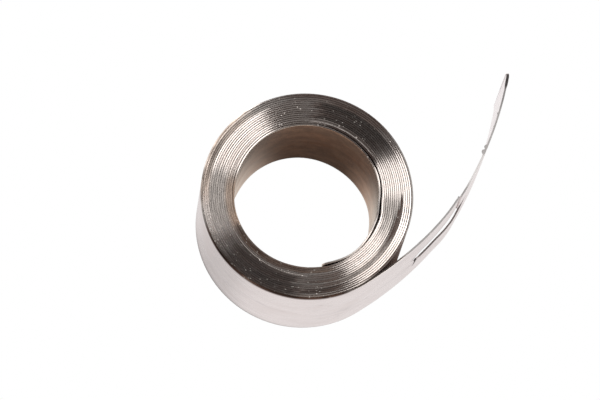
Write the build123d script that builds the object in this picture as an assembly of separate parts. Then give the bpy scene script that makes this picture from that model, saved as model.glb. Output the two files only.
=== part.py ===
from build123d import *
import os
from math import cos, sin, radians, degrees, hypot

# Constant force spring: one flat strip of hardened spring steel, wound on
# itself into a tight coil, with the outer end paid out as a curved tail.
# Frame: the coil's axis is +Z, the strip stands on its lower edge at z = 0,
# and the origin is on the axis of the innermost turn. Millimetres.

# ---- driving dimensions ------------------------------------------------------
STRIP_W = 25.0          # width of the strip, along the coil's axis
STRIP_T = 0.40          # thickness of the strip
EDGE_R = 0.10           # rounding of the strip's long edges (rolled edge)
FILM = 0.05             # mean space between neighbouring turns
BORE_R = 15.5           # inner face of the innermost turn
BORE_END_AZ = -64.0     # where the strip's inner end lies, degrees from +X
BORE_LEAVE_AZ = 209.0   # where the innermost turn meets the rest of the coil
BORE_SHIFT = 0.491      # the innermost turn has drawn in, off the coil's centre
HALF_TURNS = 30         # whole half turns between the innermost turn and the outermost part-turn
PEEL_AZ = -44.467       # where the outermost turn leaves the coil

# the paid-out tail: radius and sweep of each arc of the strip's middle line,
# and a last short bend at the tip
TAIL_ARCS = [(74.91, 18.75), (43.12, 10.00), (81.76, 18.15), (3.2, 22.0)]
TIP_CORNER_R = 0.8      # rounded corners at the tail's tip

# hook slot in the tail, measured along the tail from where it leaves the coil
SLOT_START = 14.4       # end nearest the coil
SLOT_END = 32.4         # end nearest the tip
SLOT_W = 6.0            # height of the slot, centred in the strip's width

# two cracks at the slot: one runs down from the end nearest the coil, and one
# goes right through the upper rail, which has sprung in by RAIL_SPRING
NICK_W = 0.5
NICK_DEPTH = 3.2
CRACK_AT = 28.75        # along the tail
CRACK_W = 0.20
RAIL_SPRING = 0.30      # how far the cracked rail's free end stands inward

PITCH = STRIP_T + FILM


def at(angle, radius, centre=(0.0, 0.0)):
    return (centre[0] + radius * cos(radians(angle)),
            centre[1] + radius * sin(radians(angle)))


# ---- the strip's middle line: tangent arcs, all bending the same way ----------
# Each arc is (centre, radius, start azimuth, sweep). A half turn keeps one
# centre and the next half turn the other, half a pitch away, so that turns lie
# concentric and one pitch apart everywhere.
arcs = [((0.0, 0.0), BORE_R + STRIP_T / 2, BORE_END_AZ, BORE_LEAVE_AZ - BORE_END_AZ)]
c_wide = at(BORE_LEAVE_AZ + 180.0, BORE_SHIFT)
c_near = at(BORE_LEAVE_AZ + 180.0, BORE_SHIFT - PITCH / 2)
r_wind = BORE_R + BORE_SHIFT + STRIP_T / 2
for k in range(HALF_TURNS):
    arcs.append((c_near if k % 2 else c_wide, r_wind, BORE_LEAVE_AZ + 180.0 * k, 180.0))
    r_wind += PITCH / 2
arcs.append((c_wide, r_wind, BORE_LEAVE_AZ - 360.0, PEEL_AZ + 360.0 - BORE_LEAVE_AZ))
COIL_ARCS = len(arcs)

tail = []               # (centre, radius, start azimuth, sweep)
pos, az = at(PEEL_AZ, r_wind, c_wide), PEEL_AZ
for radius, sweep in TAIL_ARCS:
    centre = at(az + 180.0, radius, pos)
    tail.append((centre, radius, az, sweep))
    pos, az = at(az + sweep, radius, centre), az + sweep
arcs += tail
TIP_POS, TIP_AZ = pos, az


def along_tail(s):
    """Point, azimuth of the outward normal and arc centre, s mm along the tail."""
    for centre, radius, a0, sweep in tail:
        length = radius * radians(sweep)
        if s <= length:
            a = a0 + degrees(s / radius)
            return at(a, radius, centre), a, centre, radius
        s -= length
    return TIP_POS, TIP_AZ, tail[-1][0], tail[-1][1]


def strip_face(path):
    """Closed outline, in plan, of the strip along a run of tangent arcs."""
    h = STRIP_T / 2
    inner = [CenterArc(c, r - h, a, s) for c, r, a, s in path]
    outer = [CenterArc(c, r + h, a, s) for c, r, a, s in path]
    c0, r0, a0, _ = path[0]
    c1, r1, a1, s1 = path[-1]
    start = Line(at(a0, r0 - h, c0), at(a0, r0 + h, c0))
    finish = Line(at(a1 + s1, r1 - h, c1), at(a1 + s1, r1 + h, c1))
    return make_face(inner + outer + [start, finish])


def prism(path, z0, z1):
    return Pos(0, 0, z0) * extrude(strip_face(path), amount=z1 - z0, dir=(0, 0, 1))


def split_tail(s0, s1):
    """The tail's arcs between two positions along it."""
    out, s = [], 0.0
    for centre, radius, a0, sweep in tail:
        length = radius * radians(sweep)
        lo, hi = max(s0, s), min(s1, s + length)
        if hi - lo > 1e-6:
            out.append((centre, radius, a0 + degrees((lo - s) / radius),
                        degrees((hi - lo) / radius)))
        s += length
    return out


TAIL_LEN = sum(r * radians(w) for _, r, _, w in tail)
SLOT_LO = STRIP_W / 2 - SLOT_W / 2
SLOT_HI = STRIP_W / 2 + SLOT_W / 2

# ---- the strip ---------------------------------------------------------------
# Below the top of the slot the strip is whole. Above it, it is whole up to the
# start of the upper rail, then the rail curls in on a tighter arc up to the
# crack, and past the crack it follows the tail again.
rail_from = SLOT_START + SLOT_W / 2
rail_to = CRACK_AT - CRACK_W / 2
rail = []
bend = 2.0 * RAIL_SPRING / (rail_to - rail_from) ** 2      # extra curvature
p, a, _, _ = along_tail(rail_from)
for centre, radius, a0, sweep in split_tail(rail_from, rail_to):
    length = radius * radians(sweep)
    r = 1.0 / (1.0 / radius + bend)
    rail.append((at(a + 180.0, r, p), r, a, degrees(length / r)))
    a += degrees(length / r)
    p = at(a, r, rail[-1][0])

body = prism(arcs, 0.0, SLOT_HI)
upper_coil = prism(arcs[:COIL_ARCS] + split_tail(0.0, rail_from) + rail, SLOT_HI, STRIP_W)
upper_tip = prism(split_tail(CRACK_AT + CRACK_W / 2, TAIL_LEN), SLOT_HI, STRIP_W)


def across_strip(s, z):
    """Work plane on the tail: +X towards the tip, +Y up, normal outward."""
    point, normal_az, _, _ = along_tail(s)
    return Plane(origin=(point[0], point[1], z),
                 x_dir=at(normal_az + 90.0, 1.0) + (0.0,),
                 z_dir=at(normal_az, 1.0) + (0.0,))


# the slot is punched square through the strip
slot_mid = (SLOT_START + SLOT_END) / 2
slot_plane = across_strip(slot_mid, STRIP_W / 2)
slot_cut = extrude(slot_plane * SlotOverall(SLOT_END - SLOT_START, SLOT_W),
                   amount=3.0, both=True)
# the crack at its lower corner narrows downward
nick_plane = across_strip(SLOT_START + 1.1, SLOT_LO + 1.0)
nick_face = Polygon((-NICK_W / 2, 0.6), (NICK_W / 2 + 0.1, 0.6),
                    (-0.42, -NICK_DEPTH), (-0.60, -NICK_DEPTH), align=None)
nick_cut = extrude(nick_plane * nick_face, amount=1.5, both=True)
strip = (body - slot_cut - nick_cut) + upper_coil + upper_tip - slot_cut


def corner_cut(point, normal_az, z, up, r):
    """Waste outside the rounded corner, of radius r, at the tail's tip."""
    plane = Plane(origin=(point[0], point[1], z),
                  x_dir=at(normal_az + 90.0, 1.0) + (0.0,),
                  z_dir=at(normal_az, 1.0) + (0.0,))
    waste = (Pos(-r / 2, -up * r / 2) * Rectangle(r, r)
             - Pos(-r, -up * r) * Circle(r))
    return extrude(plane * waste, amount=1.2, both=True)


for z, up in ((0.0, -1), (STRIP_W, 1)):
    strip -= corner_cut(TIP_POS, TIP_AZ, z, up, TIP_CORNER_R)

# ---- rolled edges ------------------------------------------------------------
long_edges = [e for e in strip.edges()
              if e.geom_type == GeomType.CIRCLE and e.length > 0.5
              and (abs(e.center().Z) < 1e-4 or abs(e.center().Z - STRIP_W) < 1e-4)
              and abs(e.bounding_box().max.Z - e.bounding_box().min.Z) < 1e-4]
rounded = fillet(long_edges, EDGE_R)
if rounded.is_valid and len(rounded.solids()) == 1:
    strip = rounded

solid = strip.solids()[0]
print("edges rounded", len(long_edges), "solids", len(strip.solids()),
      "volume", round(solid.volume, 1))
bb = solid.bounding_box()
print("box", [round(v, 3) for v in (*bb.min, *bb.max)])
strip_length = sum(r * radians(s) for _, r, _, s in arcs)
print("strip length", round(strip_length, 1), "tail", round(TAIL_LEN, 2),
      "tip", [round(v, 2) for v in TIP_POS], "turns",
      round(sum(s for _, _, _, s in arcs[:COIL_ARCS]) / 360.0, 2))

os.makedirs("parts", exist_ok=True)
export_step(solid, "parts/spring_strip.step")
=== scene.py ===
import math

import bpy
import numpy as np
from mathutils import Matrix, Vector


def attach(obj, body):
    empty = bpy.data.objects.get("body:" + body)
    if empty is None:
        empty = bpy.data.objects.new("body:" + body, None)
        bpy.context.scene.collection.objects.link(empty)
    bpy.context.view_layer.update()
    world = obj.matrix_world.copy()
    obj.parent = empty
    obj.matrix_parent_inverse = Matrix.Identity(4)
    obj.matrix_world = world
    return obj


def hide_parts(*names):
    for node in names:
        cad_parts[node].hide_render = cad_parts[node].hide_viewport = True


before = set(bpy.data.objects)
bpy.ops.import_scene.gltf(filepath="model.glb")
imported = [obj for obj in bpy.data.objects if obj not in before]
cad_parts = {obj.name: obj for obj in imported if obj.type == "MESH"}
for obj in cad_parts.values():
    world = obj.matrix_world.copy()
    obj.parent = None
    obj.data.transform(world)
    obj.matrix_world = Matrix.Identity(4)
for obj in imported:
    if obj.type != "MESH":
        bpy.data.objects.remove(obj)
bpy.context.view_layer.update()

# Constant force spring: one strip of spring steel, 25 x 0.40 mm, wound on itself
# in 16 turns, its slotted outer end paid out as a tail. Millimetres until the
# mesh is made. Angles are in degrees, measured about the coil's axis from +X.

# ------------------------------------------------------------------ the strip
W, T, FILM = 25.0, 0.40, 0.05
H = T / 2
PITCH = T + FILM
BORE_R, END_AZ, LEAVE_AZ, SHIFT = 15.5, -64.0, 209.0, 0.491
HALF_TURNS, PEEL_AZ = 30, -44.467
TAIL_ARCS = [(74.91, 18.75), (43.12, 10.00), (81.76, 18.15), (3.2, 22.0)]
TIP_R = 0.8
SLOT_0, SLOT_1, SLOT_R, MID_Z = 14.4, 32.4, 3.0, 12.5
CRACK_0, CRACK_1, RAIL_0, RAIL_SPRING = 28.65, 28.85, 17.4, 0.30
BEVEL = 0.05
COIL_END = LEAVE_AZ + 180.0 * HALF_TURNS + (PEEL_AZ + 360.0 - LEAVE_AZ)


def u(deg):
    a = np.radians(deg)
    return np.stack([np.cos(a), np.sin(a)], axis=-1)


def lattice(x, period, seed):
    """Smooth noise in -1..1 along one coordinate."""
    rng = np.random.RandomState(seed)
    values = rng.uniform(-1.0, 1.0, 4096)
    t = np.asarray(x, float) / period + 1000.0
    i = np.floor(t).astype(int)
    f = t - i
    f = f * f * (3 - 2 * f)
    return values[i % 4096] * (1 - f) + values[(i + 1) % 4096] * f


def ramp(x, lo, hi):
    t = np.clip((np.asarray(x, float) - lo) / (hi - lo), 0.0, 1.0)
    return t * t * (3 - 2 * t)


# The innermost turn has settled a little unevenly against the next one: how far
# each place stands outward of a true circle. The turns behind it are pressed
# together a little more in some places than in others.
INNER_AZ = [-64, -60, -56, -52, -48, -44, -40, -35, -30, -25, -20, -15, -10, -5, 0, 5, 10, 15, 20, 25, 30, 35,
            40, 50, 60, 70, 80, 100, 120, 140, 150, 160, 170, 180, 190, 200, 209]
INNER_OUT = [0.03, -0.12, -0.01, 0.09, 0.22, 0.35, 0.44, 0.495, 0.50, 0.41, 0.367, 0.29, 0.23, 0.25, 0.22, 0.08,
             0.05, 0.20, 0.304, 0.42, 0.485, 0.50, 0.49, 0.44, 0.38, 0.33, 0.32, 0.33, 0.25, 0.10, -0.01, -0.13,
             -0.17, -0.17, -0.14, -0.04, 0.0]
PRESS_AZ = [-70, -60, -52, -40, -30, -20, -10, -5, 0, 5, 10, 15, 20, 25, 30, 35, 40, 50, 60, 70, 80, 140, 150,
            160, 170, 180, 190, 205, 270, 280, 290]
PRESS_OUT = [0.10, 0.25, 0.22, 0.22, 0.25, 0.24, 0.18, 0.14, 0.10, -0.07, -0.12, -0.04, 0.04, 0.13, 0.18, 0.21,
             0.23, 0.15, 0.06, 0.03, 0.0, 0.0, -0.08, -0.17, -0.20, -0.15, -0.10, 0.0, 0.0, 0.05, 0.10]


def coil(theta):
    """Middle line of the wound strip, its centre's distance out, at unwrapped azimuths."""
    theta = np.asarray(theta, float)
    k = np.floor((theta - LEAVE_AZ) / 180.0)
    k = np.clip(k, 0, HALF_TURNS)
    first = theta < LEAVE_AZ
    far = u(LEAVE_AZ + 180.0)
    off = np.where(k % 2 == 0, SHIFT, SHIFT - PITCH / 2)
    off = np.where(first, 0.0, off)
    r = np.where(first, BORE_R + H, BORE_R + H + SHIFT + k * PITCH / 2)
    smooth = np.interp(theta, INNER_AZ, INNER_OUT)
    depth = np.clip((COIL_END - theta) / 360.0, 0.0, 16.0) / 15.0
    press = np.interp((theta + 70.0) % 360.0 - 70.0, PRESS_AZ, PRESS_OUT) * depth ** 2
    r_seen = r + np.where(first, smooth, press)
    return off[..., None] * far + r_seen[..., None] * u(theta), r


tail_arcs = []
p0, _ = coil(np.array([COIL_END - 1e-6]))
p0, az0 = p0[0], PEEL_AZ
for radius, sweep in TAIL_ARCS:
    c = p0 - radius * u(az0)
    tail_arcs.append((c, radius, az0, sweep))
    az0 += sweep
    p0 = c + radius * u(az0)
TAIL_LEN = sum(r * math.radians(w) for _, r, _, w in tail_arcs)


def tail(s):
    """Point and azimuth of the outward normal, s mm along the tail."""
    s = min(max(s, 0.0), TAIL_LEN)
    for c, radius, a0, sweep in tail_arcs:
        length = radius * math.radians(sweep)
        if s <= length + 1e-9:
            a = a0 + math.degrees(s / radius)
            return c + radius * u(a), a
        s -= length
    return p0, az0


# --------------------------------------------------- the strip's long edges
# The slit edges are crowned. In the coil the crown is full; in the outermost
# turn and the tail it is nearly flat with small rounded corners.
TOP_N = np.array([1.0, 0.965, 0.87, 0.40, -0.06, -0.24, -0.35, -0.47, -0.64, -0.90, -1.0])
BOT_N = np.array([-1.0, -0.90, -0.60, 0.0, 0.60, 0.90, 1.0])


def crown(n, depth, power, peak=0.0, outward=0.0, inward=0.0):
    """How far the edge lies below its crest, across the strip's thickness."""
    corners = depth * (1.0 - (1.0 - np.abs(n) ** power) ** (1.0 / power))
    d = n - peak
    soft = np.sqrt(d * d + 0.015)
    return corners + H * (outward * (soft + d) + inward * (soft - d)) / 2


def turn_from_outside(theta):
    return (COIL_END - theta) / 360.0


# the sunken turns on the right: between which turns they lie, by azimuth
SUNK_AZ = [-62, -45, -28, -15, -5, 1, 4, 7, 9, 14]
SUNK_LO = [5.1, 5.1, 5.1, 5.15, 5.4, 5.45, 5.5, 5.5, 5.5, 5.5]
SUNK_HI = [7.7, 7.8, 7.8, 8.1, 8.3, 8.2, 7.6, 7.3, 6.4, 6.3]


def sunk_right(n, az):
    lo, hi = np.interp(az, SUNK_AZ, SUNK_LO), np.interp(az, SUNK_AZ, SUNK_HI)
    return ramp(n, lo - 0.10, lo + 0.10) * (1 - ramp(n, hi - 0.12, hi + 0.25))


def rubbed(theta):
    """A rubbed patch across the coil's edges on the right, 0..1."""
    az = (theta + 180.0) % 360.0 - 180.0
    n = turn_from_outside(theta)
    return ramp(n, 6.3, 7.0) * (1 - ramp(n, 13.4, 14.8)) * (1 - ramp(az, 3.0, 17.0)) * ramp(az, -24.0, -2.0)


def edge_height(theta):
    """How far each place of the coil's upper edge lies below the common plane."""
    az = (theta + 180.0) % 360.0 - 180.0
    n = turn_from_outside(theta)
    low = 0.030 + 0.016 * lattice(theta, 150.0, 11) + 0.008 * lattice(theta, 31.0, 12)
    # turns that have slipped down a little on one side
    band = sunk_right(n, az)
    low = low + band * np.interp(az, [-62, -45, -30, -18, -2, 8, 14], [0.0, 0.05, 0.10, 0.28, 0.32, 0.26, 0.0])
    band = ramp(n, 1.8, 2.0) * (1 - ramp(n, 4.5, 4.7))
    low = low + 0.07 * band * ramp(az, 122.0, 135.0) * (1 - ramp(az, 172.0, 179.9))
    band = ramp(n, 14.05, 14.2)
    low = low + 0.16 * band * ramp(az, 36.0, 50.0) * (1 - ramp(az, 88.0, 100.0))
    band = ramp(n, 12.0, 12.6) * (1 - ramp(n, 14.2, 14.6))
    low = low + 0.09 * band * ramp(-az, 60.0, 80.0) * (1 - ramp(-az, 120.0, 150.0))
    return np.maximum(low, 0.004)


def edge_wear(theta):
    """Where a turn's crest has been rubbed flat, 0..1."""
    az = (theta + 180.0) % 360.0 - 180.0
    n = turn_from_outside(theta)
    right = sunk_right(n, az) * ramp(-az, -15.0, -10.0) * (1 - ramp(-az, 18.0, 40.0))
    some = 0.30 * ramp(lattice(theta, 130.0, 51), 0.45, 0.95)
    return np.clip(np.maximum(right, some), 0.0, 1.0)


def edge_stain_and_shade(theta):
    """Dull, stained and rubbed stretches of the coil's upper edge, and painted shade and painted highlights where its
    reflections fall dark or bright: tone and strength.

    A strength below zero marks only the edge's inner corner."""
    az = (theta + 180.0) % 360.0 - 180.0
    full = az % 360.0
    n = turn_from_outside(theta)
    tone_, strength = np.full_like(n, 0.10), np.zeros_like(n)
    # a stretch doesn't end at the same place on every turn, nor is it of one tone
    wander = 4.0 * lattice(theta, 90.0, 91)
    az, full = az + wander, full + wander
    vary = 1.0 + 0.30 * lattice(theta, 60.0, 95) + 0.28 * lattice(theta, 9.0, 96)

    def span(v, lo, hi, soft):
        return ramp(v, lo - soft, lo + soft) * (1 - ramp(v, hi - soft, hi + soft))

    def stroke(mask, shade, much):
        nonlocal tone_, strength
        m = mask * abs(much)
        take = m > np.abs(strength)
        tone_ = np.where(take, shade, tone_)
        strength = np.where(take, m * np.sign(much), strength)

    # broad stretches: painted shade where the edges' reflections fall dark, at the back and the front of the coil,
    # toned brown and grey in places
    stroke(span(az, 52, 118, 9) * span(n, 0.2, 3.9, 0.3),
           np.interp(az, [55, 80, 100, 122], [0.070, 0.075, 0.10, 0.14]) * vary, 0.60)
    stroke(span(az, 44, 101, 8) * span(n, 4.1, 12.3, 0.5),
           np.interp(az, [45, 58, 75, 92, 102], [0.022, 0.011, 0.016, 0.024, 0.06]) * vary, 0.52)
    stroke(span(az, -138, -60, 7) * span(n, 12.2, 16.2, 0.5), 0.105 * vary, 0.62)
    stroke(span(az, -86, -56, 5) * span(n, 5.1, 11.8, 0.3), 0.115 * vary, 0.58)
    stroke(span(az, -132, -84, 6) * span(n, 1.0, 10.9, 0.2), 0.026 * vary, 0.50)
    stroke(span(az, -98, -58, 5) * span(n, 2.4, 4.7, 0.5), 0.040 * vary, 0.52)
    # the olive streak of slightly sunken turns on the left, which runs out to the edge
    lo = np.interp(full, [125, 135, 150, 160, 170, 178, 184, 189, 194, 200], [0.7, 1.0, 1.3, 1.5, 1.3, 1.6, 1.2, 0.7, 0.4, 0.1])
    hi = np.interp(full, [125, 150, 165, 176, 182, 187, 191, 196, 200], [4.4, 4.3, 4.1, 3.9, 3.5, 2.4, 1.8, 1.2, 1.0])
    deep = 1.0 - np.clip(np.abs(n - (lo * 0.45 + hi * 0.55)) / (hi - lo), 0.0, 0.5) * 2.0
    stroke(span(full, 128, 198, 9) * span(n, lo, hi, 0.35),
           np.interp(full, [125, 132, 142, 150, 158, 170, 178, 186, 196], [0.15, 0.17, 0.28, 0.27, 0.22, 0.13, 0.22, 0.28, 0.28])
           * (1.55 - 0.65 * deep) * (0.6 + 0.4 * vary), 0.72)
    # rubbed matt patches, left and right
    stroke(span(full, 180, 212, 11) * span(n, 3.9, 16.3, 0.9),
           (0.345 + 0.05 * lattice(theta, 5.0, 73)) * np.interp(n, [11.0, 13.5, 15.8], [1.0, 0.92, 0.72]), 0.60)
    stroke(rubbed(theta) * (0.8 + 0.2 * lattice(theta, 4.0, 74)), 0.28 + 0.05 * lattice(theta, 6.0, 75), 0.70)
    # the sunken turns on the right: painted shade over the sunken turns, darkest along the middle
    mid = np.interp(az, [-60, 5, 12], [6.6, 6.7, 5.9])
    shoulder = 1.0 + 0.9 * np.clip(np.abs(n - mid) / 1.35, 0.0, 1.0) ** 2
    stroke(sunk_right(n, az) * ramp(-az, -15.0, -12.0) * (1 - ramp(-az, 50.0, 68.0)),
           np.interp(az, [-60, -48, -38, -28, -20, -12, 0, 14], [0.13, 0.20, 0.24, 0.24, 0.17, 0.075, 0.075, 0.06])
           * shoulder * (0.5 + 0.5 * vary), 0.90)
    # radial marks: painted highlights, thin radial lines of reflected light
    stroke(span(az, 95.5, 99.5, 1.5) * span(n, 3.5, 15.0, 0.2), 0.105, 0.50)
    stroke(span(az, -84.5, -80.5, 1.5) * span(n, 2.0, 15.0, 0.2), 0.125, 0.55)
    # painted highlights: thin bright lines on the inner corner where a turn stands proud of the next one in
    stroke(span(az, 46, 97, 6) * span(n, 13.2, 13.99, 0.10), 0.50, -0.96)
    stroke(span(az, -138, -82, 5) * span(n, 10.85, 11.5, 0.15), 0.55, -0.97)
    # painted shade over the sunken inner turns at the top
    stroke(span(az, 42, 92, 5) * span(n, 14.1, 15.2, 0.12), 0.030, 0.78)
    # rust-brown outermost edge, its tone along the coil also painted light and shade that follow its reflections; the
    # outline on the right, painted darker; and the innermost turn, toned along its length
    stroke(span(n, -0.1, 0.50, 0.05) * ramp(theta, COIL_END - 190.0, COIL_END - 165.0) * (1 - ramp(theta, COIL_END - 16.0, COIL_END - 6.0)),
           np.interp(full, [165, 180, 190, 200, 210, 220, 230, 240, 250, 260, 270, 280, 290, 300],
                     [0.55, 0.46, 0.30, 0.21, 0.19, 0.040, 0.012, 0.026, 0.10, 0.045, 0.022, 0.040, 0.050, 0.075])
           * (1.0 + 0.5 * lattice(theta, 4.0, 72)), 0.86)
    stroke(span(n, 0.745, 0.985, 0.03), np.interp(az, [-45, -25, 0, 25, 42], [0.03, 0.06, 0.17, 0.19, 0.16]), 0.85)
    inner = ramp(n, 15.70, 15.72)
    stroke(inner * (1 - ramp(az, -38.0, -26.0)),
           np.interp(az, [-64, -62, -60.5, -56, -52, -48, -44, -38], [0.60, 0.55, 0.17, 0.19, 0.24, 0.32, 0.42, 0.50]), 0.80)
    stroke(inner * span(az, -18.0, 16.0, 4.0),
           np.interp(az, [-18, -12, -5, 0, 6, 15], [0.42, 0.36, 0.13, 0.18, 0.33, 0.38]), 0.75)
    return tone_, strength


def edge_brown(theta):
    """Where the stains on the coil's edges are rust-brown, 0..1."""
    az = (theta + 180.0) % 360.0 - 180.0
    full = az % 360.0
    n = turn_from_outside(theta)
    left = ramp(full, 172.0, 190.0) * (1 - ramp(full, 212.0, 228.0)) * ramp(n, 10.6, 13.0)
    foot = ramp(full, 216.0, 228.0) * (1 - ramp(full, 296.0, 306.0))
    brown = np.maximum(0.95 * left, foot * (0.55 * ramp(n, 12.0, 13.0) + 0.9 * (1 - ramp(n, 0.5, 1.3))))
    streak = ramp(full, 130.0, 150.0) * (1 - ramp(full, 190.0, 204.0)) * (1 - ramp(n, 3.6, 4.6))
    brown = np.maximum(brown, 0.45 * streak)
    return np.clip(brown * (1.0 + 0.35 * lattice(theta, 17.0, 85)), 0.0, 1.0)


def edge_corner_dark(theta):
    """Where each turn's edge is darkened along its outer corner, beside the space to the next turn, 0..1."""
    az = (theta + 180.0) % 360.0 - 180.0
    n = turn_from_outside(theta)
    right = ramp(-az, 8.0, 26.0) * (1 - ramp(-az, 58.0, 74.0)) * ramp(n, 0.9, 1.2)
    right = right * (0.75 + 0.25 * lattice(theta, 23.0, 81))
    left = ramp(az, 132.0, 150.0) * (1 - ramp(az, 170.0, 179.0)) * ramp(n, 4.0, 5.0)
    return np.clip(np.maximum(0.85 * right, 0.45 * left), 0.0, 1.0)


def edge_tilt(theta):
    return 0.050 * lattice(theta, 170.0, 21) + 0.03 * lattice(theta, 43.0, 22)


# ------------------------------------------------------------- the mesh
verts, lay, tone, corner_dark_and_brown = [], [], [], []  # positions, (length, height, across), masks, corner darkening and brown
index = {}


def vertex(x, y, z, l, n, m):
    key = (round(x, 5), round(y, 5), round(z, 5))
    if key not in index:
        index[key] = len(verts)
        verts.append((x, y, z))
        lay.append((l, z, n))
        tone.append(m[:3])
        corner_dark_and_brown.append((m[3], m[4], 0.0))
    return index[key]


faces = []


def face(*ids):
    out = []
    for i in ids:
        if i not in out:
            out.append(i)
    if len(out) >= 3:
        faces.append(tuple(out))


Z_ROWS_LO = [0.6, 4.4]                  # loops on the faces, below the slot and above it
Z_ROWS_HI = [20.4, 24.35]


def ring(place, l, zb, zt, lo, hi, lo_f, hi_f, top, bot, tilt, mask, shift_hi=0.0,
         shift_lo=0.0, jag=None, burr=(0.0, 0.0)):
    """One station of the strip. Returns the rows of the upper and lower halves."""
    point, az = place
    d = u(az)

    def put(n, z, shift):
        px, py = point + d * (n + shift)
        if jag is not None:
            t = u(az + 90.0)
            px, py = np.array([px, py]) + t * jag(z)
        return vertex(float(px), float(py), float(z), l, n, mask)

    zj_t, zj_b = zt - crown(TOP_N, *top)[0], zb + crown(BOT_N, *bot)[0]
    rows_hi = [hi_f] + [z for z in Z_ROWS_HI if z < zj_t - 0.15] + [zj_t]
    rows_lo = [zj_b] + [z for z in Z_ROWS_LO if z > zj_b + 0.15] + [lo_f]
    while len(rows_hi) < 4:
        rows_hi.insert(-1, (rows_hi[-2] + rows_hi[-1]) / 2)
    while len(rows_lo) < 4:
        rows_lo.insert(1, (rows_lo[0] + rows_lo[1]) / 2)
    crown_t = zt - crown(TOP_N, *top) + np.tan(tilt) * TOP_N * H
    crown_b = zb + crown(BOT_N, *bot)
    zj_t, zj_b = crown_t[0], crown_b[0]
    ou = [put(H, z, shift_hi) for z in rows_hi[:-1]]
    inward = burr[0] * ramp(-TOP_N, -0.5, 0.9)
    outward = burr[1] * ramp(TOP_N, -0.3, 0.9)
    tc = [put(H * n, z, shift_hi + p - q) for n, z, p, q in zip(TOP_N, crown_t, outward, inward)]
    iu = [put(-H, z, shift_hi - (0.25 * burr[0] if j == 0 else 0.0)) for j, z in enumerate(reversed(rows_hi[:-1]))]
    il = [put(-H, z, shift_lo) for z in reversed(rows_lo[1:])]
    bc = [put(H * n, z, shift_lo) for n, z in zip(BOT_N, crown_b)]
    ol = [put(H, z, shift_lo) for z in rows_lo[1:]]
    upper = ou + tc + iu
    lower = il + bc + ol
    wall_u = [put(-(H - BEVEL), hi, shift_hi), put(H - BEVEL, hi, shift_hi)]
    wall_l = [put(H - BEVEL, lo, shift_lo), put(-(H - BEVEL), lo, shift_lo)]
    return upper, lower, wall_u, wall_l


def skin(a, b):
    for i in range(len(a) - 1):
        face(a[i], b[i], b[i + 1], a[i + 1])


def cap(loop, flip):
    """Close a cut end by ladders of quads between its two sides."""
    n = len(loop)
    lo, hi = 0, n - 1
    while hi - lo >= 2:
        ids = [loop[lo], loop[lo + 1], loop[hi - 1], loop[hi]] if hi - lo > 2 else \
              [loop[lo], loop[lo + 1], loop[hi]]
        face(*(reversed(ids) if flip else ids))
        lo, hi = lo + 1, hi - 1


COIL_TOP, COIL_BOT = (0.030, 5.0, -0.35, 0.445, 0.87), (0.030, 5.0, 0.0, 0.5, 0.5)
TAIL_TOP, TAIL_BOT = (0.055, 3.4, -0.35, 0.0, 0.0), (0.055, 3.4, 0.0, 0.0, 0.0)

# stations of the coil
thetas = [END_AZ]
while thetas[-1] < COIL_END - 1e-6:
    step = 2.5 if thetas[-1] > COIL_END - 400.0 or thetas[-1] < 300.0 else 3.0
    thetas.append(min(thetas[-1] + step, COIL_END))
if thetas[-1] - thetas[-2] < 1.0:
    del thetas[-2]
thetas = np.array(thetas)
points, radii = coil(thetas)
length = np.concatenate([[0.0], np.cumsum(np.linalg.norm(np.diff(points, axis=0), axis=1))])
low = edge_height(thetas)
tilts = edge_tilt(thetas)
flat = ramp(thetas, COIL_END - 75.0, COIL_END - 15.0)
worn = edge_wear(thetas)
stain_and_shade, stain_and_shade_much = edge_stain_and_shade(thetas)
corner_dark, browned = edge_corner_dark(thetas), edge_brown(thetas)
low_b = 0.020 + 0.018 * lattice(thetas, 160.0, 31)

stations = []
for i, th in enumerate(thetas):
    k = max(flat[i], worn[i])
    top = tuple(a + (b - a) * k for a, b in zip(COIL_TOP, TAIL_TOP))
    bot = tuple(a + (b - a) * k for a, b in zip(COIL_BOT, TAIL_BOT))
    e = 1.0 - k
    n_out = turn_from_outside(th)
    mask = (n_out, float(stain_and_shade[i]), float(stain_and_shade_much[i]), float(corner_dark[i]), float(browned[i]))
    end = 0.12 if i == 0 else 0.0
    stations.append((ring((points[i], th), length[i], low_b[i] * e + end, W - low[i] * (e * 0.9 + 0.1) - end,
                          MID_Z, MID_Z, MID_Z, MID_Z, top, bot, tilts[i] * e, mask), False, False, False, False))

# stations of the tail
s_list = list(np.arange(0.9, 14.2, 0.9)) + [14.35, 14.40]
s_list += [17.4 - 3.0 * math.cos(math.radians(p)) for p in (12, 24, 34, 54, 64, 72, 81, 90)]
s_list += [14.96, 15.00, 15.04, 15.12, 15.34, 15.56]
s_list += list(np.arange(18.2, 28.4, 0.75)) + [28.40, CRACK_0, CRACK_1, 29.10]
s_list += [29.4 + 3.0 * math.sin(math.radians(p)) for p in (0, 9, 18, 28, 38, 48, 58, 68, 79, 90)]
s_list += [32.45] + list(np.arange(33.2, 39.3, 0.9)) + list(np.arange(39.4, 42.6, 0.16))
s_list += list(np.arange(43.2, 46.0, 0.9)) + [46.1, 46.3, 46.5, 46.7, 47.4, 48.3, 49.1, 49.3, 49.5, 49.7, 49.9]
s_list += list(np.arange(50.6, 55.2, 0.9)) + list(np.arange(55.3, 58.3, 0.25))
s_list += [TAIL_LEN - TIP_R + TIP_R * math.sin(math.radians(p)) for p in (0, 12, 24, 35, 46, 56, 66, 75, 83, 90)]
s_list = sorted(set(round(float(v), 4) for v in s_list))


def slot_half(s, r):
    if s < SLOT_0 + SLOT_R:
        d = SLOT_0 + SLOT_R - s
    elif s > SLOT_1 - SLOT_R:
        d = s - (SLOT_1 - SLOT_R)
    else:
        d = 0.0
    return math.sqrt(max(r * r - d * d, 0.0))


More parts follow.
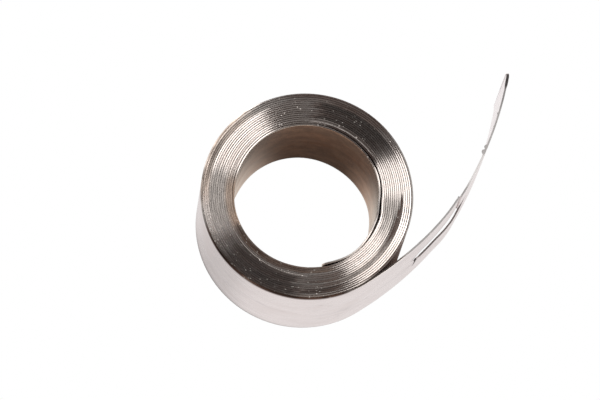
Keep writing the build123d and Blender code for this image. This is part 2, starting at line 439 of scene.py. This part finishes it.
def edge_burr(s):
    """Burrs and grit on the tail's upper edge: how far they stand inward and outward."""
    inner = outer = 0.0
    for at_s, wide, tall in ((40.15, 0.55, 0.50), (40.6, 0.30, 0.14), (41.45, 0.55, 0.40), (46.4, 0.25, 0.10), (49.5, 0.22, 0.26)):
        inner += tall * max(0.0, 1.0 - ((s - at_s) / wide) ** 2) ** 0.8
    inner += 0.03 * max(0.0, float(lattice(s, 1.7, 61)))
    lip = float(ramp(s, 55.4, 56.6))
    return inner + 0.11 * lip, outer + 0.10 * lip + 0.015 * max(0.0, float(lattice(s, 2.3, 62)))


NICK = ([14.96, 15.00, 15.04, 15.12, 15.34, 15.56, 15.80], [12.5, 7.5, 7.3, 7.35, 8.55, 9.75, 12.5])


def jagged(z):
    return 0.10 * math.sin(z * 2.7) + 0.07 * math.sin(z * 6.1 + 1.0) + 0.03 * math.sin(z * 17.0)


for s in s_list:
    place = tail(s)
    inside = SLOT_0 - BEVEL - 1e-6 <= s <= SLOT_1 + BEVEL + 1e-6
    walled = SLOT_0 - 1e-6 <= s <= SLOT_1 + 1e-6
    lo = hi = lo_f = hi_f = MID_Z
    if walled:
        lo, hi = MID_Z - slot_half(s, SLOT_R), MID_Z + slot_half(s, SLOT_R)
    if inside:
        lo_f, hi_f = MID_Z - slot_half(s, SLOT_R + BEVEL), MID_Z + slot_half(s, SLOT_R + BEVEL)
    if NICK[0][0] < s < NICK[0][-1]:
        z = float(np.interp(s, *NICK))
        if z < lo:
            lo, lo_f = z, min(z - 0.04, lo_f)
    rail = 0.0
    if RAIL_0 < s <= CRACK_0:
        rail = -RAIL_SPRING * ((s - RAIL_0) / (CRACK_0 - RAIL_0)) ** 2
    bulge = 0.22 * float(ramp(s, 21.0, 26.0) * (1 - ramp(s, 27.0, 31.5)))
    corner = max(0.0, s - (TAIL_LEN - TIP_R))
    cut = TIP_R - math.sqrt(max(TIP_R ** 2 - corner ** 2, 0.0))
    l = length[-1] + s
    jag = jagged if s in (CRACK_0, CRACK_1) else None
    wobble = 0.010 * float(lattice(s, 6.0, 41))
    place = (place[0] + u(place[1]) * wobble, place[1])
    stations.append((ring(place, l, cut, W - 0.004 - cut, lo, hi, lo_f, hi_f, TAIL_TOP, TAIL_BOT, 0.0,
                          (-s / 100.0, 0.1, 0.0, 0.0, 0.0), rail, bulge, jag, edge_burr(s)), inside, walled,
                     s == CRACK_0, s == CRACK_1))

for a, b in zip(stations, stations[1:]):
    (ua, la, wua, wla), in_a, wal_a, c0, _ = a
    (ub, lb, wub, wlb), in_b, wal_b, _, c1 = b
    cracked = c0 and c1
    if not cracked:
        skin(ua, ub)
    skin(la, lb)
    if in_a and in_b:
        if not cracked:
            skin([ua[-1], wua[0]] if wal_a else [ua[-1], ua[-1]], [ub[-1], wub[0]] if wal_b else [ub[-1], ub[-1]])
            skin([wua[1], ua[0]] if wal_a else [ua[0], ua[0]], [wub[1], ub[0]] if wal_b else [ub[0], ub[0]])
        skin([la[-1], wla[0]] if wal_a else [la[-1], la[-1]], [lb[-1], wlb[0]] if wal_b else [lb[-1], lb[-1]])
        skin([wla[1], la[0]] if wal_a else [la[0], la[0]], [wlb[1], lb[0]] if wal_b else [lb[0], lb[0]])
    if wal_a and wal_b:
        if not cracked:
            skin(wua, wub)
        skin(wla, wlb)
    if cracked:
        cap(ua + wua, False)
        cap(ub + wub, True)

first, last = stations[0][0], stations[-1][0]
cap(first[1] + first[0][1:-1], True)
cap(last[1] + last[0][1:-1], False)

co = np.array(verts, dtype=np.float64) / 1000.0
mesh = bpy.data.meshes.new("spring_strip_wound")
mesh.from_pydata(co.tolist(), [], faces)
mesh.update()

import bmesh
bm = bmesh.new()
bm.from_mesh(mesh)
bmesh.ops.recalc_face_normals(bm, faces=bm.faces)
for f in bm.faces:
    f.smooth = True
loose = [e for e in bm.edges if len(e.link_faces) != 2]
print("strip mesh: verts", len(bm.verts), "faces", len(bm.faces), "open or shared edges", len(loose),
      "volume mm3", round(bm.calc_volume(signed=True) * 1e9, 1))
for e in loose[:8]:
    print("  edge", [tuple(round(c * 1000, 3) for c in v.co) for v in e.verts], len(e.link_faces))
for e in bm.edges:
    if len(e.link_faces) == 2 and e.calc_face_angle(0.0) > math.radians(38):
        e.smooth = False
bm.to_mesh(mesh)
bm.free()

for name, values in (("lay", lay), ("tone", tone), ("corner_dark_and_brown", corner_dark_and_brown)):
    attribute = mesh.attributes.new(name, "FLOAT_VECTOR", "POINT")
    attribute.data.foreach_set("vector", np.array(values, dtype=np.float32).ravel())
lay_np = np.array(lay)
uv = mesh.uv_layers.new(name="Strip")
loop_v = np.empty(len(mesh.loops), dtype=np.int32)
mesh.loops.foreach_get("vertex_index", loop_v)
uv_co = np.stack([lay_np[loop_v, 0] / 100.0, (lay_np[loop_v, 1] + lay_np[loop_v, 2] * 0.5) / 100.0], axis=1)
uv.data.foreach_set("uv", uv_co.astype(np.float32).ravel())

strip = bpy.data.objects.new("strip", mesh)
bpy.context.scene.collection.objects.link(strip)
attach(strip, "root")
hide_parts("spring_strip")


# ------------------------------------------------------------- the steel
class Nodes:
    def __init__(self, tree):
        self.t = tree

    def new(self, kind, **settings):
        n = self.t.nodes.new(kind)
        for k, v in settings.items():
            setattr(n, k, v)
        return n

    def link(self, a, b):
        self.t.links.new(a, b)

    def put(self, socket, value):
        if hasattr(value, "is_linked") or isinstance(value, bpy.types.NodeSocket):
            self.link(value, socket)
        else:
            socket.default_value = value

    def math(self, op, a, b=0.0, c=0.0, clamp=False):
        n = self.new("ShaderNodeMath", operation=op, use_clamp=clamp)
        for i, v in enumerate((a, b, c)):
            self.put(n.inputs[i], v)
        return n.outputs[0]

    def scaled(self, vector, scale):
        n = self.new("ShaderNodeVectorMath", operation="MULTIPLY")
        self.put(n.inputs[0], vector)
        n.inputs[1].default_value = scale
        return n.outputs[0]

    def noise(self, vector, scale=1.0, detail=3.0, rough=0.55):
        n = self.new("ShaderNodeTexNoise")
        self.put(n.inputs["Vector"], vector)
        n.inputs["Scale"].default_value = scale
        n.inputs["Detail"].default_value = detail
        n.inputs["Roughness"].default_value = rough
        return n.outputs["Fac"]

    def span(self, value, lo, hi, out_lo=0.0, out_hi=1.0):
        n = self.new("ShaderNodeMapRange", interpolation_type="SMOOTHSTEP")
        self.put(n.inputs["Value"], value)
        for key, v in (("From Min", lo), ("From Max", hi), ("To Min", out_lo), ("To Max", out_hi)):
            n.inputs[key].default_value = v
        return n.outputs["Result"]

    def mix(self, factor, a, b, blend="MIX"):
        n = self.new("ShaderNodeMix", data_type="RGBA", blend_type=blend)
        self.put(n.inputs["Factor"], factor)
        for i, v in ((6, a), (7, b)):
            if isinstance(v, tuple):
                n.inputs[i].default_value = v + (1.0,) if len(v) == 3 else v
            else:
                self.link(v, n.inputs[i])
        return n.outputs[2]


mat = bpy.data.materials.new("spring_steel")
mat.use_nodes = True
tree = mat.node_tree
tree.nodes.clear()
g = Nodes(tree)
out = g.new("ShaderNodeOutputMaterial")
bsdf = g.new("ShaderNodeBsdfPrincipled")
g.link(bsdf.outputs[0], out.inputs[0])

lay_a = g.new("ShaderNodeAttribute", attribute_name="lay")
tone_a = g.new("ShaderNodeAttribute", attribute_name="tone")
LAY = lay_a.outputs["Vector"]
sep = g.new("ShaderNodeSeparateXYZ")
g.link(LAY, sep.inputs[0])
L_, Z_, N_ = sep.outputs
tsep = g.new("ShaderNodeSeparateXYZ")
g.link(tone_a.outputs["Vector"], tsep.inputs[0])
TURN, STAIN_AND_SHADE, STAIN_AND_SHADE_MUCH = tsep.outputs
corner_dark_and_brown_a = g.new("ShaderNodeAttribute", attribute_name="corner_dark_and_brown")
dsep = g.new("ShaderNodeSeparateXYZ")
g.link(corner_dark_and_brown_a.outputs["Vector"], dsep.inputs[0])
CORNER_DARK, BROWN = dsep.outputs[0], dsep.outputs[1]

# specks of dust and tiny pits
spec = g.new("ShaderNodeTexVoronoi", feature="F1")
g.put(spec.inputs["Vector"], g.scaled(LAY, (0.78, 1.03, 1.3)))
spec.inputs["Scale"].default_value = 1.0
specks = g.span(g.math("SUBTRACT", spec.outputs["Distance"], g.span(Z_, 24.5, 24.8, 0.0, 0.066)), 0.085, 0.05, 0.0, 1.0)

# masks: the inner side of the strip, and its long edges
inner_side = g.span(N_, -0.19, -0.20, 0.0, 1.0)
on_top = g.span(Z_, 24.55, 24.85, 0.0, 1.0)
on_foot = g.span(Z_, 0.30, 0.12, 0.0, 1.0)
on_edge = g.math("MAXIMUM", on_top, on_foot)

# long rolling lines, and a slower cloudiness
lines = g.noise(g.scaled(LAY, (0.035, 7.0, 30.0)), 1.0, 4.0, 0.62)
fine = g.noise(g.scaled(LAY, (0.25, 26.0, 60.0)), 1.0, 2.0, 0.5)
cloud = g.noise(g.scaled(LAY, (0.11, 0.22, 0.4)), 1.0, 3.0, 0.5)
patch = g.noise(g.scaled(LAY, (0.035, 0.09, 0.3)), 1.0, 3.0, 0.6)
grain = g.noise(g.scaled(LAY, (0.45, 6.0, 18.0)), 1.0, 3.0, 0.6)

steel = g.mix(g.span(lines, 0.30, 0.72), (0.68, 0.625, 0.615), (0.79, 0.735, 0.725))
steel = g.mix(g.span(cloud, 0.42, 0.72, 0.0, 0.35), steel, (0.70, 0.63, 0.61))
# brown temper film on the inner side, deepest inside the coil
film = g.mix(g.span(patch, 0.38, 0.66), (0.305, 0.132, 0.073), (0.42, 0.203, 0.126))
film = g.mix(g.span(cloud, 0.55, 0.75, 0.0, 0.6), film, (0.295, 0.114, 0.060))
RUN = g.math("MULTIPLY", TURN, -100.0)             # mm along the tail, below zero in the coil
free = g.span(RUN, 3.0, 13.0)                      # 1 on the paid-out tail
film = g.mix(g.span(Z_, 16.0, 23.5, 0.0, 0.55), film, (0.27, 0.158, 0.110))
mottle = g.noise(g.scaled(LAY, (0.30, 0.42, 0.4)), 1.0, 4.0, 0.65)
film = g.mix(g.span(mottle, 0.40, 0.66, 0.0, 0.30), film, (0.50, 0.30, 0.20))
film = g.mix(g.span(mottle, 0.60, 0.38, 0.0, 0.25), film, (0.16, 0.080, 0.050))
# the film is painted thinner on two stretches of the innermost turn, so the bore wall is lighter there: a painted sheen
painted_sheen = g.span(L_, 48.0, 62.0, 0.0, 0.30)
painted_sheen = g.math("ADD", painted_sheen, g.span(L_, 31.0, 15.0, 0.0, 0.46))
filmed = g.math("MULTIPLY", inner_side, g.math("SUBTRACT", g.math("SUBTRACT", 1.0, free), painted_sheen), clamp=True)
colour = g.mix(filmed, steel, film)
colour = g.mix(g.math("MULTIPLY", g.math("MULTIPLY", inner_side, free), 0.8), colour, (0.93, 0.905, 0.915))
# the outer side: a brown film where the tail overhangs it, darkened with painted shade, and light scuffs elsewhere
outer_side = g.span(N_, 0.19, 0.20, 0.0, 1.0)
sheltered = g.math("MULTIPLY", g.span(TURN, 0.70, 0.90), g.span(TURN, 1.02, 0.99))
colour = g.mix(g.math("MULTIPLY", g.math("MULTIPLY", outer_side, sheltered), 0.88), colour, (0.122, 0.080, 0.064))
wander = g.noise(g.scaled(LAY, (0.055, 0.42, 0.2)), 1.0, 2.5, 0.50)
here = g.noise(g.scaled(LAY, (0.050, 0.14, 0.2)), 1.0, 3.0, 0.6)
thread = g.span(g.math("ABSOLUTE", g.math("SUBTRACT", wander, 0.5)), 0.016, 0.004)
scuff = g.math("MULTIPLY", g.math("MULTIPLY", thread, g.span(here, 0.50, 0.62)), outer_side)
smudge = g.math("MULTIPLY", g.span(g.noise(g.scaled(LAY, (0.075, 0.26, 0.2)), 1.0, 5.0, 0.7), 0.50, 0.72), outer_side)
colour = g.mix(g.math("MULTIPLY", scuff, 0.42), colour, (0.40, 0.36, 0.35))
colour = g.mix(g.math("MULTIPLY", smudge, 0.34), colour, (0.47, 0.43, 0.44))
# the outer side is darkened brown just below its upper rim along the front, and the slot's edges are dark
rim = g.math("MULTIPLY", g.math("MULTIPLY", outer_side, g.span(Z_, 23.9, 24.45)), g.math("MULTIPLY", g.span(TURN, 0.32, 0.25), g.span(TURN, 0.015, 0.05)))
colour = g.mix(g.math("MULTIPLY", rim, 0.85), colour, (0.12, 0.062, 0.042))
past = g.math("MAXIMUM", g.math("SUBTRACT", g.math("ABSOLUTE", g.math("SUBTRACT", RUN, (SLOT_0 + SLOT_1) / 2)), (SLOT_1 - SLOT_0) / 2 - SLOT_R), 0.0)
up_ = g.math("ABSOLUTE", g.math("SUBTRACT", Z_, MID_Z))
away = g.math("SUBTRACT", g.math("SQRT", g.math("ADD", g.math("MULTIPLY", past, past), g.math("MULTIPLY", up_, up_))), SLOT_R)
over = g.span(Z_, MID_Z - 0.5, MID_Z + 0.5)
lip = g.math("MULTIPLY", g.math("MULTIPLY", g.span(away, 0.95, 0.60), g.span(away, -0.5, -0.3)), over)
colour = g.mix(g.math("MULTIPLY", lip, 0.72), colour, (0.22, 0.19, 0.185))
split = g.math("ABSOLUTE", g.math("SUBTRACT", RUN, g.math("MULTIPLY_ADD", Z_, 0.24, 13.22)))
split = g.math("MULTIPLY", g.span(split, 0.36, 0.18), g.math("MULTIPLY", g.span(Z_, 6.3, 7.0), g.span(Z_, 10.4, 9.8)))
colour = g.mix(g.math("MULTIPLY", split, 0.88), colour, (0.10, 0.085, 0.08))
# the slit edges: warm grey metal that changes from turn to turn
turn_v = g.new("ShaderNodeCombineXYZ")
g.link(g.math("MULTIPLY", L_, 0.012), turn_v.inputs[0])
g.link(g.math("MULTIPLY", TURN, 1.7), turn_v.inputs[1])
turn_noise = g.noise(turn_v.outputs[0], 1.0, 2.0, 0.6)
edge_c = g.mix(g.span(turn_noise, 0.32, 0.68), (0.66, 0.60, 0.565), (0.82, 0.76, 0.73))
edge_c = g.mix(g.span(grain, 0.55, 0.75, 0.0, 0.20), edge_c, (0.40, 0.34, 0.30))
colour = g.mix(on_edge, colour, edge_c)
# the tail's upper edge is dull where it was slit and handled; its tone along the tail is painted light and shade
# standing in for its reflections, darkest at the tip
ramp_n = g.new("ShaderNodeValToRGB")
g.link(g.math("DIVIDE", RUN, 60.0), ramp_n.inputs[0])
stops = [(9.0, 0.10), (12.5, 0.27), (28.0, 0.26), (30.5, 0.24), (33.0, 0.52), (39.2, 0.52), (39.8, 0.31),
         (42.3, 0.30), (43.0, 0.30), (50.0, 0.27), (53.0, 0.17), (55.2, 0.19), (56.0, 0.035), (59.5, 0.030)]
el = ramp_n.color_ramp.elements
while len(el) < len(stops):
    el.new(0.5)
for e_i, (at_s, v) in zip(el, stops):
    e_i.position = at_s / 60.0
for e_i, (at_s, v) in zip(el, stops):
    e_i.color = (v, v * 0.965, v * 0.95, 1.0)
dull_c = g.mix(g.span(grain, 0.45, 0.70, 0.0, 0.30), ramp_n.outputs[0], (0.20, 0.17, 0.16))
dull = g.math("MULTIPLY", g.span(Z_, 24.70, 24.88), g.span(RUN, 9.0, 12.5))
colour = g.mix(dull, colour, dull_c)
# stained, rubbed and matt stretches of the coil's edges, with their painted shade and painted highlights
patchy = g.noise(g.scaled(LAY, (0.9, 1.0, 9.0)), 1.0, 3.0, 0.7)
corner = g.span(N_, -0.10, -0.14)
rub_and_shade = g.math("MAXIMUM", STAIN_AND_SHADE_MUCH, g.math("MULTIPLY", g.math("MULTIPLY", STAIN_AND_SHADE_MUCH, -1.0), corner))
rub_and_shade = g.math("MULTIPLY", g.math("MULTIPLY", rub_and_shade, on_top), g.span(patchy, 0.28, 0.52, 0.55, 1.0), clamp=True)
shade = g.math("MULTIPLY", STAIN_AND_SHADE, g.span(grain, 0.32, 0.68, 0.60, 1.45))
stain_and_shade_c = g.new("ShaderNodeCombineXYZ")
g.link(shade, stain_and_shade_c.inputs[0])
g.link(g.math("MULTIPLY", shade, g.span(STAIN_AND_SHADE, 0.0, 0.18, 0.55, 0.91)), stain_and_shade_c.inputs[1])
g.link(g.math("MULTIPLY", shade, g.span(STAIN_AND_SHADE, 0.0, 0.18, 0.42, 0.85)), stain_and_shade_c.inputs[2])
left = g.math("SUBTRACT", 1.0, rub_and_shade)
left = g.math("MULTIPLY", left, left)
colour = g.mix(g.math("SUBTRACT", 1.0, g.math("MULTIPLY", left, left)), colour, stain_and_shade_c.outputs[0])
colour = g.mix(g.math("MULTIPLY", BROWN, on_top), colour, (1.0, 0.80, 0.655), "MULTIPLY")
# each edge's outer corner is darkened, beside the space between turns
corner_darkening = g.math("MULTIPLY", g.math("MULTIPLY", CORNER_DARK, g.span(N_, 0.065, 0.125)), on_top)
colour = g.mix(corner_darkening, colour, (0.20, 0.130, 0.100))
# some turns' edges are duller than their neighbours'
dull_v = g.new("ShaderNodeCombineXYZ")
g.link(g.math("MULTIPLY", L_, 0.016), dull_v.inputs[0])
g.link(g.math("MULTIPLY", TURN, 2.3), dull_v.inputs[1])
dull_t = g.math("MULTIPLY", g.span(g.noise(dull_v.outputs[0], 1.0, 2.0, 0.6), 0.58, 0.74, 0.0, 0.10), on_top)
matt = g.math("MAXIMUM", g.math("MAXIMUM", dull, rub_and_shade), dull_t)
matt = g.math("MAXIMUM", matt, g.math("MULTIPLY", specks, g.math("MULTIPLY", on_top, 0.7)))
g.link(g.math("SUBTRACT", 1.0, matt), bsdf.inputs["Metallic"])
colour = g.mix(g.math("MULTIPLY", specks, 0.50), colour, (0.50, 0.475, 0.44))
g.link(colour, bsdf.inputs["Base Color"])
# under the tail the outer side's reflections are tinted brown and dimmed: brown film and painted shade
tint = g.mix(g.math("MULTIPLY", outer_side, sheltered), (1.0, 1.0, 1.0), (0.34, 0.235, 0.195))
g.link(tint, bsdf.inputs["Specular Tint"])

rough = g.span(lines, 0.30, 0.72, 0.24, 0.33)
rough = g.math("ADD", rough, g.span(cloud, 0.40, 0.75, 0.0, 0.07))
rough = g.math("ADD", rough, g.math("MULTIPLY", inner_side, 0.06))
rough_edge = g.span(grain, 0.35, 0.70, 0.13, 0.22)
rmix = g.new("ShaderNodeMix", data_type="FLOAT")
g.link(on_edge, rmix.inputs[0])
g.link(rough, rmix.inputs[2])
g.link(rough_edge, rmix.inputs[3])
rough = g.math("ADD", rmix.outputs[0], g.math("MULTIPLY", specks, 0.3))
g.link(rough, bsdf.inputs["Roughness"])

relief = g.math("ADD", g.math("MULTIPLY", lines, 0.6), g.math("MULTIPLY", fine, 0.4))
relief = g.math("ADD", relief, g.math("MULTIPLY", g.math("MULTIPLY", grain, on_edge), 0.25))
bump = g.new("ShaderNodeBump")
bump.inputs["Strength"].default_value = 0.35
bump.inputs["Distance"].default_value = 0.00002
g.link(relief, bump.inputs["Height"])
g.link(bump.outputs[0], bsdf.inputs["Normal"])
mesh.materials.append(mat)


# ------------------------------------------------------------- the stage
def plane(name, size, z, hole=0.0):
    me = bpy.data.meshes.new(name)
    k = 96
    vs, fs = [], []
    for i in range(k):
        a = 2 * math.pi * i / k
        vs.append((hole * math.cos(a), hole * math.sin(a), z))
        vs.append((size * math.cos(a), size * math.sin(a), z))
    if hole > 0:
        for i in range(k):
            j = (i + 1) % k
            fs.append((2 * i, 2 * i + 1, 2 * j + 1, 2 * j))
    else:
        fs.append(tuple(2 * i + 1 for i in range(k)))
        vs = [v for v in vs]
    me.from_pydata(vs, [], fs)
    me.update()
    o = bpy.data.objects.new(name, me)
    bpy.context.scene.collection.objects.link(o)
    return o


def simple(name, kind, colour, strength=1.0):
    m = bpy.data.materials.new(name)
    m.use_nodes = True
    t = m.node_tree
    t.nodes.clear()
    o = t.nodes.new("ShaderNodeOutputMaterial")
    n = t.nodes.new(kind)
    n.inputs["Color"].default_value = colour + (1.0,)
    if kind == "ShaderNodeEmission":
        n.inputs["Strength"].default_value = strength
    t.links.new(n.outputs[0], o.inputs[0])
    return m


floor = plane("floor", 3.0, -0.0004)
floor.data.materials.append(simple("floor_pale", "ShaderNodeEmission", (1.0, 1.0, 1.0), 1.0))
bounce = plane("floor_bounce", 1.2, -0.0002)
bounce.data.materials.append(simple("floor_white", "ShaderNodeBsdfDiffuse", (0.90, 0.875, 0.87)))


def glow_floor():
    """What the metal sees of the floor: lit paper with painted shadows, dark under the coil and by the bore's back
    wall, dimmer beside the coil on the left front and in the wedge under the tail.
    """
    me = bpy.data.meshes.new("floor_glow")
    rings = [0.0, 0.004, 0.008, 0.011, 0.0135, 0.0150, 0.0160, 0.0225, 0.0232, 0.0238, 0.0244, 0.0250, 0.0256,
             0.0262, 0.0270, 0.0280, 0.0290, 0.0300, 0.0315, 0.033, 0.036, 0.04, 0.06, 1.2]
    k = 144
    run = np.array([tail(v)[0] for v in np.linspace(0.0, TAIL_LEN - 1.5, 120)])
    run_az = np.degrees(np.arctan2(run[:, 1], run[:, 0]))
    run_r = np.hypot(run[:, 0], run[:, 1]) / 1000.0
    vs, fs, cs = [], [], []
    for r in rings:
        for i in range(k):
            az = 360.0 * i / k
            signed = (az + 180.0) % 360.0 - 180.0
            vs.append((r * math.cos(math.radians(az)), r * math.sin(math.radians(az)), -0.0001))
            # inside the bore: painted shadow, darkest by the back wall
            if r < 0.0161:
                far = (az - 85.0 + 180.0) % 360.0 - 180.0
                level = 0.13 + 0.95 * float(ramp(far, 25.0, 82.0) if far > 0 else ramp(-far, 16.0, 62.0))
                c = (level, level * 0.99, level * 0.90)
            # under the coil: painted dark
            elif r < 0.0226:
                c = (0.05, 0.04, 0.035)
            else:
                # beside the coil: painted shade on the left front, fading out with distance
                level = float(np.interp(signed, [-180, -168, -155, -140, -125, -110, -95, 180],
                                        [0.86, 0.86, 0.74, 0.68, 0.72, 0.93, 0.97, 0.86]))
                level = level + (0.98 - level) * float(ramp(r, 0.03, 0.05))
                edge = float(np.interp(signed, run_az, run_r))
                # painted shadow of the tail in the wedge between it and the coil
                wedge = float(ramp(signed, -46.0, -44.0) * (1 - ramp(signed, -12.0, 12.0)))
                wedge *= 1.0 - float(ramp(r, edge - 0.0011, edge - 0.0003))
                c = (level * (1 - 0.86 * wedge), level * 0.97 * (1 - 0.91 * wedge), level * 0.965 * (1 - 0.94 * wedge))
            cs.append(c + (1.0,))
    for j in range(len(rings) - 1):
        for i in range(k):
            m = (i + 1) % k
            fs.append((j * k + i, (j + 1) * k + i, (j + 1) * k + m, j * k + m))
    me.from_pydata(vs, [], fs)
    me.update()
    a = me.color_attributes.new(name="glow", type="FLOAT_COLOR", domain="POINT")
    a.data.foreach_set("color", np.array(cs, dtype=np.float32).ravel())
    o = bpy.data.objects.new("floor_glow", me)
    bpy.context.scene.collection.objects.link(o)
    m = simple("floor_glow", "ShaderNodeEmission", (1.0, 1.0, 1.0), 1.0)
    n = m.node_tree.nodes.new("ShaderNodeAttribute")
    n.attribute_name = "glow"
    e = next(x for x in m.node_tree.nodes if x.type == "EMISSION")
    m.node_tree.links.new(n.outputs["Color"], e.inputs["Color"])
    me.materials.append(m)
    return o


glow = glow_floor()
glow.visible_camera = glow.visible_shadow = glow.visible_diffuse = False
for o in (floor,):
    o.visible_diffuse = o.visible_glossy = o.visible_transmission = o.visible_shadow = False
bounce.visible_camera = False

world = bpy.data.worlds.new("room")
bpy.context.scene.world = world
world.use_nodes = True
wt = world.node_tree
wt.nodes.clear()
wo = wt.nodes.new("ShaderNodeOutputWorld")
path = wt.nodes.new("ShaderNodeLightPath")
room = wt.nodes.new("ShaderNodeBackground")
room.inputs[0].default_value = (0.088, 0.077, 0.073, 1.0)
soft = wt.nodes.new("ShaderNodeBackground")
soft.inputs[0].default_value = (1.0, 0.985, 0.98, 1.0)
soft.inputs[1].default_value = 0.90
paper = wt.nodes.new("ShaderNodeBackground")
paper.inputs[0].default_value = (1.0, 1.0, 1.0, 1.0)
m1, m2 = wt.nodes.new("ShaderNodeMixShader"), wt.nodes.new("ShaderNodeMixShader")
wt.links.new(path.outputs["Is Diffuse Ray"], m1.inputs[0])
wt.links.new(room.outputs[0], m1.inputs[1])
wt.links.new(soft.outputs[0], m1.inputs[2])
wt.links.new(path.outputs["Is Camera Ray"], m2.inputs[0])
wt.links.new(m1.outputs[0], m2.inputs[1])
wt.links.new(paper.outputs[0], m2.inputs[2])
wt.links.new(m2.outputs[0], wo.inputs[0])
world.cycles.sampling_method = "NONE"


def softbox(name, direction, distance, size_x, size_y, radiance, colour=(1, 1, 1), spin=0.0,
            aim=(0.0, 0.0, 0.025)):
    d = Vector(direction).normalized()
    light = bpy.data.lights.new(name, "AREA")
    light.shape = "RECTANGLE"
    light.size, light.size_y = size_x, size_y
    light.energy = radiance * math.pi * size_x * size_y
    light.color = colour
    o = bpy.data.objects.new(name, light)
    o.location = Vector(aim) + d * distance
    o.rotation_mode = "QUATERNION"
    q = d.to_track_quat("Z", "Y")
    o.rotation_quaternion = q @ Matrix.Rotation(math.radians(spin), 4, "Z").to_quaternion()
    bpy.context.scene.collection.objects.link(o)
    o.visible_camera = False
    return o


WARM = (1.0, 0.985, 0.965)
softbox("right_back", (0.739, 0.473, 0.478), 0.60, 0.40, 0.40, 2.1, WARM)
softbox("right_front", (0.733, -0.070, 0.676), 0.60, 0.42, 0.42, 2.0, WARM)
softbox("left_back", (-0.650, 0.590, 0.480), 0.60, 0.36, 0.36, 2.25, WARM)
softbox("left", (-0.7665, 0.040, 0.641), 0.60, 0.38, 0.38, 0.50, WARM)
softbox("back", (-0.161, 0.885, 0.436), 0.60, 0.34, 0.34, 0.16, WARM)
softbox("front", (0.208, -0.495, 0.843), 0.60, 0.30, 0.30, 0.15, WARM)
softbox("left_low", (-0.963, -0.0675, 0.262), 0.60, 0.35, 0.35, 1.7, WARM)
softbox("left_back_low", (-0.724, 0.652, 0.225), 0.60, 0.36, 0.28, 1.2, WARM)

# ------------------------------------------------------------- the camera
cam = bpy.data.cameras.new("camera")
cam.sensor_width = 36.0
cam.sensor_fit = "HORIZONTAL"
cam.lens = 237.06
cam.clip_start, cam.clip_end = 0.05, 10.0
camera = bpy.data.objects.new("camera", cam)
CAM_E, CAM_ROLL, CAM_DIST, CAM_TX, CAM_TY = 73.56, 13.81, 36.76, 307.7, 195.0
R_OUT, AXIS_XY = 23.08, (0.346, 0.171)
e_, r_ = math.radians(CAM_E), math.radians(CAM_ROLL)
back = Vector((0.0, -math.cos(e_), math.sin(e_)))
right0 = Vector((1.0, 0.0, 0.0))
up0 = back.cross(right0)
right = right0 * math.cos(r_) + up0 * math.sin(r_)
up = up0 * math.cos(r_) - right0 * math.sin(r_)
dx = (CAM_TX - 300.0) / 3951.0 * CAM_DIST
dy = -(CAM_TY - 200.0) / 3951.0 * CAM_DIST
rel = -(right * dx + up * dy - back * CAM_DIST)
place = Vector((AXIS_XY[0], AXIS_XY[1], W)) + rel * R_OUT
m = Matrix((right, up, back)).transposed().to_4x4()
m.translation = place / 1000.0
camera.matrix_world = m
bpy.context.scene.collection.objects.link(camera)
bpy.context.scene.camera = camera
bpy.context.scene.view_settings.view_transform = "Standard"
bpy.context.scene.view_settings.look = "None"
